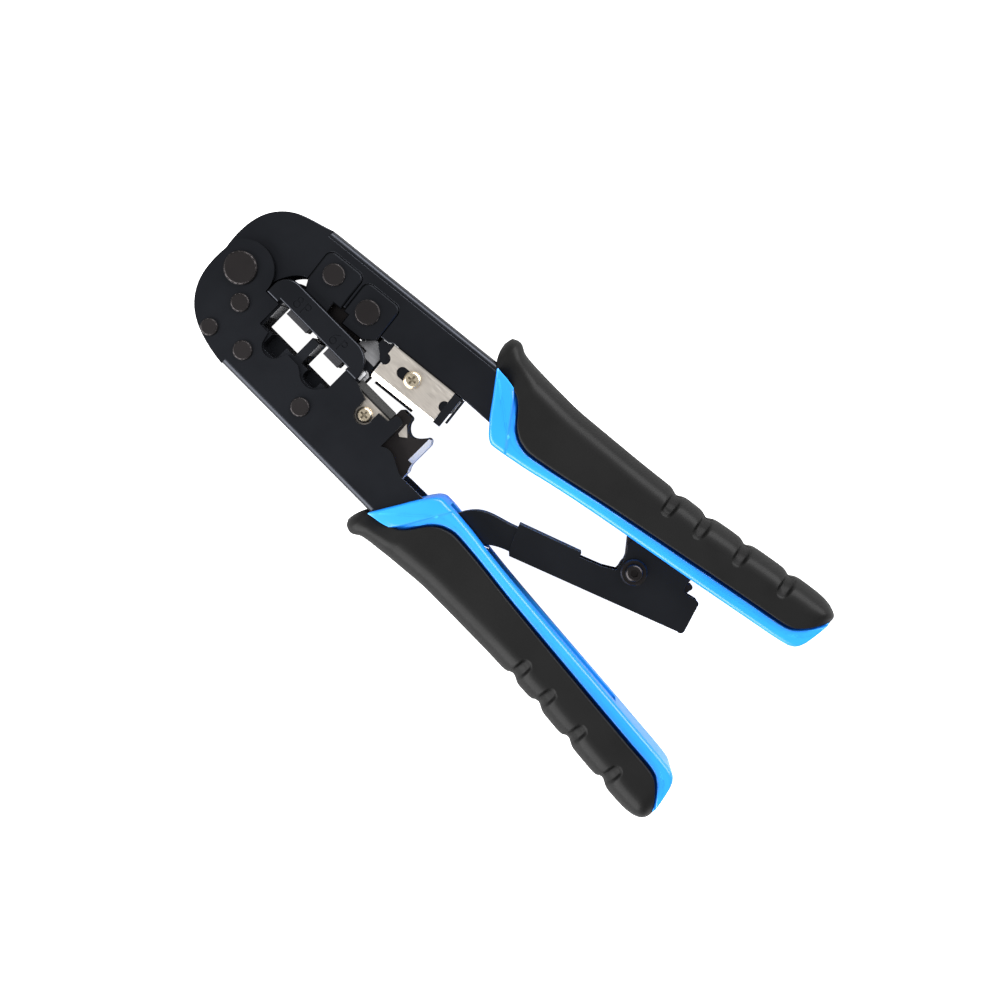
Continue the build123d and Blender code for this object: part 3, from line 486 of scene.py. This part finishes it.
def along(table, x):
    """Reads a table of (x, y) points with smooth, monotone steps between them."""
    last = len(table) - 1
    if x <= table[0][0]:
        return table[0][1]
    if x >= table[last][0]:
        return table[last][1]
    index = next(i for i in range(last) if table[i][0] <= x <= table[i + 1][0])

    def chord(i):
        i = min(max(i, 0), last - 1)
        return (table[i + 1][1] - table[i][1]) / (table[i + 1][0] - table[i][0])

    def slope(i):
        before, after = chord(i - 1), chord(i)
        return 0.0 if before * after <= 0 else 2 * before * after / (before + after)

    (x0, y0), (x1, y1) = table[index], table[index + 1]
    step = x1 - x0
    t = (x - x0) / step
    return (
        y0 * (2 * t**3 - 3 * t**2 + 1) + y1 * (3 * t**2 - 2 * t**3)
        + step * slope(index) * (t**3 - 2 * t**2 + t) + step * slope(index + 1) * (t**3 - t**2)
    )


def fade(value, low, high):
    """Smooth step from 0 at low to 1 at high."""
    t = min(max((value - low) / (high - low), 0.0), 1.0)
    return t * t * (3 - 2 * t)


def bulge(distance, reach, power):
    """Height of a rounded shoulder, from 0 at its edge to 1 at reach."""
    t = 1 - min(max(distance / reach, 0.0), 1.0)
    return (1 - t**power) ** (1 / power)


def stations(start, end):
    """Places along a handle where it is drawn, closer together at its ends and at its grooves."""
    places = []
    x = start + TIP
    while x < end - TIP:
        places.append(x)
        step = 0.8
        for middle, _ in GROOVES:
            if abs(x - middle) < GROOVE_HALF + 2.0:
                step = 0.22
        step = min(step, 0.03 + 0.25 * (x - start), 0.04 + 0.25 * (end - x))
        if x < 92.0:
            step = min(step, 0.4)
        x += step
    places.append(end - TIP)
    return places


def loft(name, rings):
    """A closed skin over rings that all have the same number of points."""
    mesh = bpy.data.meshes.new(name)
    work = bmesh.new()
    rows = [[work.verts.new(Vector(point) * MM) for point in ring] for ring in rings]
    count = len(rings[0])
    for first, second in zip(rows, rows[1:]):
        for i in range(count):
            j = (i + 1) % count
            work.faces.new((first[i], first[j], second[j], second[i]))
    work.faces.new(rows[0])
    work.faces.new(list(reversed(rows[-1])))
    bmesh.ops.recalc_face_normals(work, faces=work.faces)
    work.to_mesh(mesh)
    work.free()
    piece = bpy.data.objects.new(name, mesh)
    bpy.context.scene.collection.objects.link(piece)
    return piece


def shade(piece, angle):
    """Smooth shading that keeps the edges sharper than the angle."""
    mesh = piece.data
    work = bmesh.new()
    work.from_mesh(mesh)
    for face in work.faces:
        face.smooth = True
    for edge in work.edges:
        if len(edge.link_faces) == 2:
            edge.smooth = edge.calc_face_angle(0.0) < math.radians(angle)
    work.to_mesh(mesh)
    work.free()


def place_handle(piece, upper):
    """Turns or mirrors a handle piece from its drawing to its place on the tool."""
    if upper:
        piece.data.transform(Matrix.Rotation(OPEN_ANGLE, 4, "Z"))
        return
    piece.data.transform(Matrix.Scale(-1, 4, (0, 1, 0)))
    piece.data.flip_normals()


def outer_edge(x):
    """The grip's outer edge: the back line, notched by the finger grooves and rounded at its end."""
    back = along(BACK_LINE, x)
    for middle, _ in GROOVES:
        back -= NOTCH_DEPTH * math.exp(-(((x - middle) / NOTCH_REACH) ** 2))
    return GRIP_END_Y + (back - GRIP_END_Y) * bulge(GRIP_END - x, END_ROUND, 2.2)


def grip_height(x):
    """Half thickness of the grip, which narrows at the guard and rounds off at the end."""
    middle, reach, depth = WAIST
    guard = GUARD_HALF + (GRIP_HALF - GUARD_HALF) * fade(x, GRIP_START, GUARD_END)
    waist = depth * math.exp(-(((x - middle) / reach) ** 2))
    ends = bulge(x - GRIP_START, 3.0, 2.0) * bulge(GRIP_END - x, 7.0, 2.4)
    return (guard - waist) * ends


def groove_at(x, y):
    """How deep the finger grooves are at a point, from 0 to 1; their inner ends are round."""
    depth = 0.0
    for middle, inner in GROOVES:
        away = math.hypot(x - middle, min(y - inner - GROOVE_HALF, 0.0))
        depth = max(depth, 1 - fade(away, GROOVE_HALF - 0.55, GROOVE_HALF + 0.3))
    return depth


def grip_ring(x, upper):
    """One section of the grip, from the front parting line over the outer edge to the back."""
    lean = LEAN * (LEAN_MIDDLE - x) * (1 if upper else -1)
    low, high = along(PARTING, x), outer_edge(x)
    high = high + lean * fade(high - low, 0.0, 6.0)
    width = high - low
    half = grip_height(x)
    corner_y, corner_z = min(6.5, 0.55 * width), 0.72 * half
    lip = min(LIP_WIDTH, width / 3)
    flat = width - corner_y
    front = []
    for i in range(GRIP_POINTS):
        t = i / GRIP_POINTS
        across = t * 1.4
        if across < 1.0:
            y = low + flat * across
            z = half
        else:
            angle = (across - 1.0) / 0.4 * math.pi / 2
            y = low + flat + corner_y * math.sin(angle)
            z = half - corner_z * (1 - math.cos(angle))
        z = z - LIP * (half / GRIP_HALF) * (1 - bulge(y - low, lip, 2.0))
        z = z - GROOVE_DEPTH * groove_at(x, y) * (half / GRIP_HALF)
        front.append((x, y, z))
    front.append((x, high, half - corner_z))
    back = [(px, py, -pz) for px, py, pz in reversed(front)]
    return front + back


def slot_cutter(slot):
    """A block for the slot that the strut dips into."""
    work = bmesh.new()
    size = (slot[1] - slot[0], SLOT_DEPTH + SLOT_PAST, 2 * SLOT_HALF)
    middle = ((slot[0] + slot[1]) / 2, (SLOT_DEPTH - SLOT_PAST) / 2, 0.0)
    place = Matrix.Translation(Vector(middle) * MM) @ Matrix.Diagonal([side * MM for side in size] + [1.0])
    bmesh.ops.create_cube(work, size=1.0, matrix=place)
    mesh = bpy.data.meshes.new("slot_cutter")
    work.to_mesh(mesh)
    work.free()
    return mesh


def carve(piece, mesh):
    """Cuts a mesh out of a piece for good."""
    cutter = bpy.data.objects.new("cutter", mesh)
    bpy.context.scene.collection.objects.link(cutter)
    cut = piece.modifiers.new("cut", "BOOLEAN")
    cut.operation = "DIFFERENCE"
    cut.object = cutter
    cut.solver = "EXACT"
    bpy.context.view_layer.update()
    settled = piece.evaluated_get(bpy.context.evaluated_depsgraph_get())
    carved = bpy.data.meshes.new_from_object(settled)
    piece.modifiers.clear()
    piece.data = carved
    bpy.data.objects.remove(cutter)


def settle(piece, upper, angle, finish, node, body):
    """Places, shades and paints a moulding, and lets it stand in for its CAD node."""
    place_handle(piece, upper)
    shade(piece, angle)
    piece.data.materials.clear()
    piece.data.materials.append(FINISHES[finish])
    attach(piece, body)
    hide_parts(node)


def build_grip(name, node, body, upper):
    grip = loft(name, [grip_ring(x, upper) for x in stations(GRIP_START, GRIP_END)])
    carve(grip, slot_cutter(UPPER_SLOT if upper else LOWER_SLOT))
    settle(grip, upper, 60.0, "black_grip", node, body)


def side_of_ridge(x, y):
    """Distance behind the collar's ridge, towards the handle's end."""
    (x0, y0), (x1, y1) = RIDGE
    length = math.hypot(x1 - x0, y1 - y0)
    return ((x - x0) * (y0 - y1) + (y - y0) * (x1 - x0)) / length


def core_ring(x):
    """One section of the core, from the front parting line to the inner edge and to the back."""
    inner, parting = along(INNER_EDGE, x), along(PARTING, x)
    top = max(parting + 0.35, inner + 0.01)
    width = top - inner
    end = bulge(CORE_END - x, 3.0, 2.4)
    front = []
    for i in range(CORE_POINTS + 1):
        t = i / CORE_POINTS
        y = top - width * (t**0.8 if t < 0.5 else 1 - (1 - t) ** 1.6 * 1.7411)
        corner = bulge(y - inner, min(1.5, width * 0.6), 2.0)
        valley = 1 - fade(y, parting - 1.1, parting + 0.15)
        crown = 0.35 * math.cos((y - inner) / max(width, 0.1) * math.pi / 2)
        step = 0.5 * (1 - fade(side_of_ridge(x, y), -0.35, 0.0))
        z = CORE_HALF - 0.5 + crown + step - 1.2 * (1 - valley) * fade(x, 77.0, 86.0)
        z = z - 1.5 * (1 - corner)
        front.append((x, y, z * (0.85 + 0.15 * end)))
    back = [(px, py, -pz) for px, py, pz in reversed(front)]
    return front + back


def relief_cutter():
    """A disc for the relief that the elbow's washer and nut sink into."""
    work = bmesh.new()
    place = Matrix.Translation(Vector((ELBOW_CLOSED[0], ELBOW_CLOSED[1], 0.0)) * MM)
    radius, half = ELBOW_RELIEF
    bmesh.ops.create_cone(
        work, cap_ends=True, segments=48, radius1=radius * MM, radius2=radius * MM, depth=2 * half * MM,
        matrix=place,
    )
    mesh = bpy.data.meshes.new("relief_cutter")
    work.to_mesh(mesh)
    work.free()
    return mesh


def build_core(name, node, body, upper):
    core = loft(name, [core_ring(x) for x in stations(CORE_START, CORE_END)])
    carve(core, slot_cutter(UPPER_SLOT if upper else LOWER_SLOT))
    if upper:
        carve(core, relief_cutter())
    settle(core, upper, 40.0, "blue_plastic", node, body)


def build_handles():
    build_grip("lower_grip_moulding", "lower_grip", "lower_frame", False)
    build_grip("upper_grip_moulding", "upper_grip", "upper_frame", True)
    build_core("lower_core_moulding", "lower_handle_core", "lower_frame", False)
    build_core("upper_core_moulding", "upper_handle_core", "upper_frame", True)


# ---------------------------------------------------------------- stage


FLOOR_HALF = 1.5
WORLD_STRENGTH = 0.42


def add_floor():
    """A white floor under the tool, which glows for the camera alone so that shadows stay faint."""
    half, height = FLOOR_HALF, cad_low.z
    corners = [(-half, -half, height), (half, -half, height), (half, half, height), (-half, half, height)]
    mesh = bpy.data.meshes.new("floor")
    mesh.from_pydata([(x + CAMERA_TO.x, y, z) for x, y, z in corners], [], [(0, 1, 2, 3)])
    floor = bpy.data.objects.new("floor", mesh)
    bpy.context.scene.collection.objects.link(floor)
    nodes = Nodes("floor_white")
    nodes.set(Base_Color=grey(0.8), Roughness=0.9)
    seen = nodes.add("ShaderNodeLightPath").outputs["Is Camera Ray"]
    nodes.shader.inputs["Emission Color"].default_value = grey(1.0)
    nodes.put(nodes.shader.inputs["Emission Strength"], seen)
    mesh.materials.append(nodes.material)


def add_light(name, place, aim, size, power):
    light = bpy.data.lights.new(name, "AREA")
    light.shape = "RECTANGLE"
    light.size, light.size_y = size
    light.energy = power
    holder = bpy.data.objects.new(name, light)
    bpy.context.scene.collection.objects.link(holder)
    holder.location = place
    holder.rotation_euler = (Vector(aim) - Vector(place)).to_track_quat("-Z", "Y").to_euler()


def add_lights():
    middle = (cad_low + cad_high) / 2
    add_light("key", middle + Vector((-0.10, -0.72, 0.42)), middle, (1.2, 0.66), 19.0)
    add_light("far", middle + Vector((0.0, 0.72, 0.46)), middle, (1.2, 0.42), 14.0)
    world = bpy.data.worlds.new("studio")
    world.use_nodes = True
    world.node_tree.nodes["Background"].inputs[0].default_value = grey(1.0)
    world.node_tree.nodes["Background"].inputs[1].default_value = WORLD_STRENGTH
    bpy.context.scene.world = world
    bpy.context.scene.view_settings.view_transform = "Standard"


def add_camera():
    camera = bpy.data.cameras.new("camera")
    holder = bpy.data.objects.new("camera", camera)
    bpy.context.scene.collection.objects.link(holder)
    back = (CAMERA_AT - CAMERA_TO).normalized()
    turn = math.radians(CAMERA_TURN)
    right = Vector((math.cos(turn), math.sin(turn), 0.0))
    right = (right - back * right.dot(back)).normalized()
    up = back.cross(right)
    rotation = Matrix((right, up, back)).transposed()
    holder.matrix_world = Matrix.Translation(CAMERA_AT) @ rotation.to_4x4()
    distance = (CAMERA_AT - CAMERA_TO).length
    camera.lens = camera.sensor_width * distance / PICTURE_WIDTH
    camera.clip_start = 0.01
    bpy.context.scene.camera = holder


dress_frame()
soften_edges()
build_handles()
add_floor()
add_lights()
add_camera()
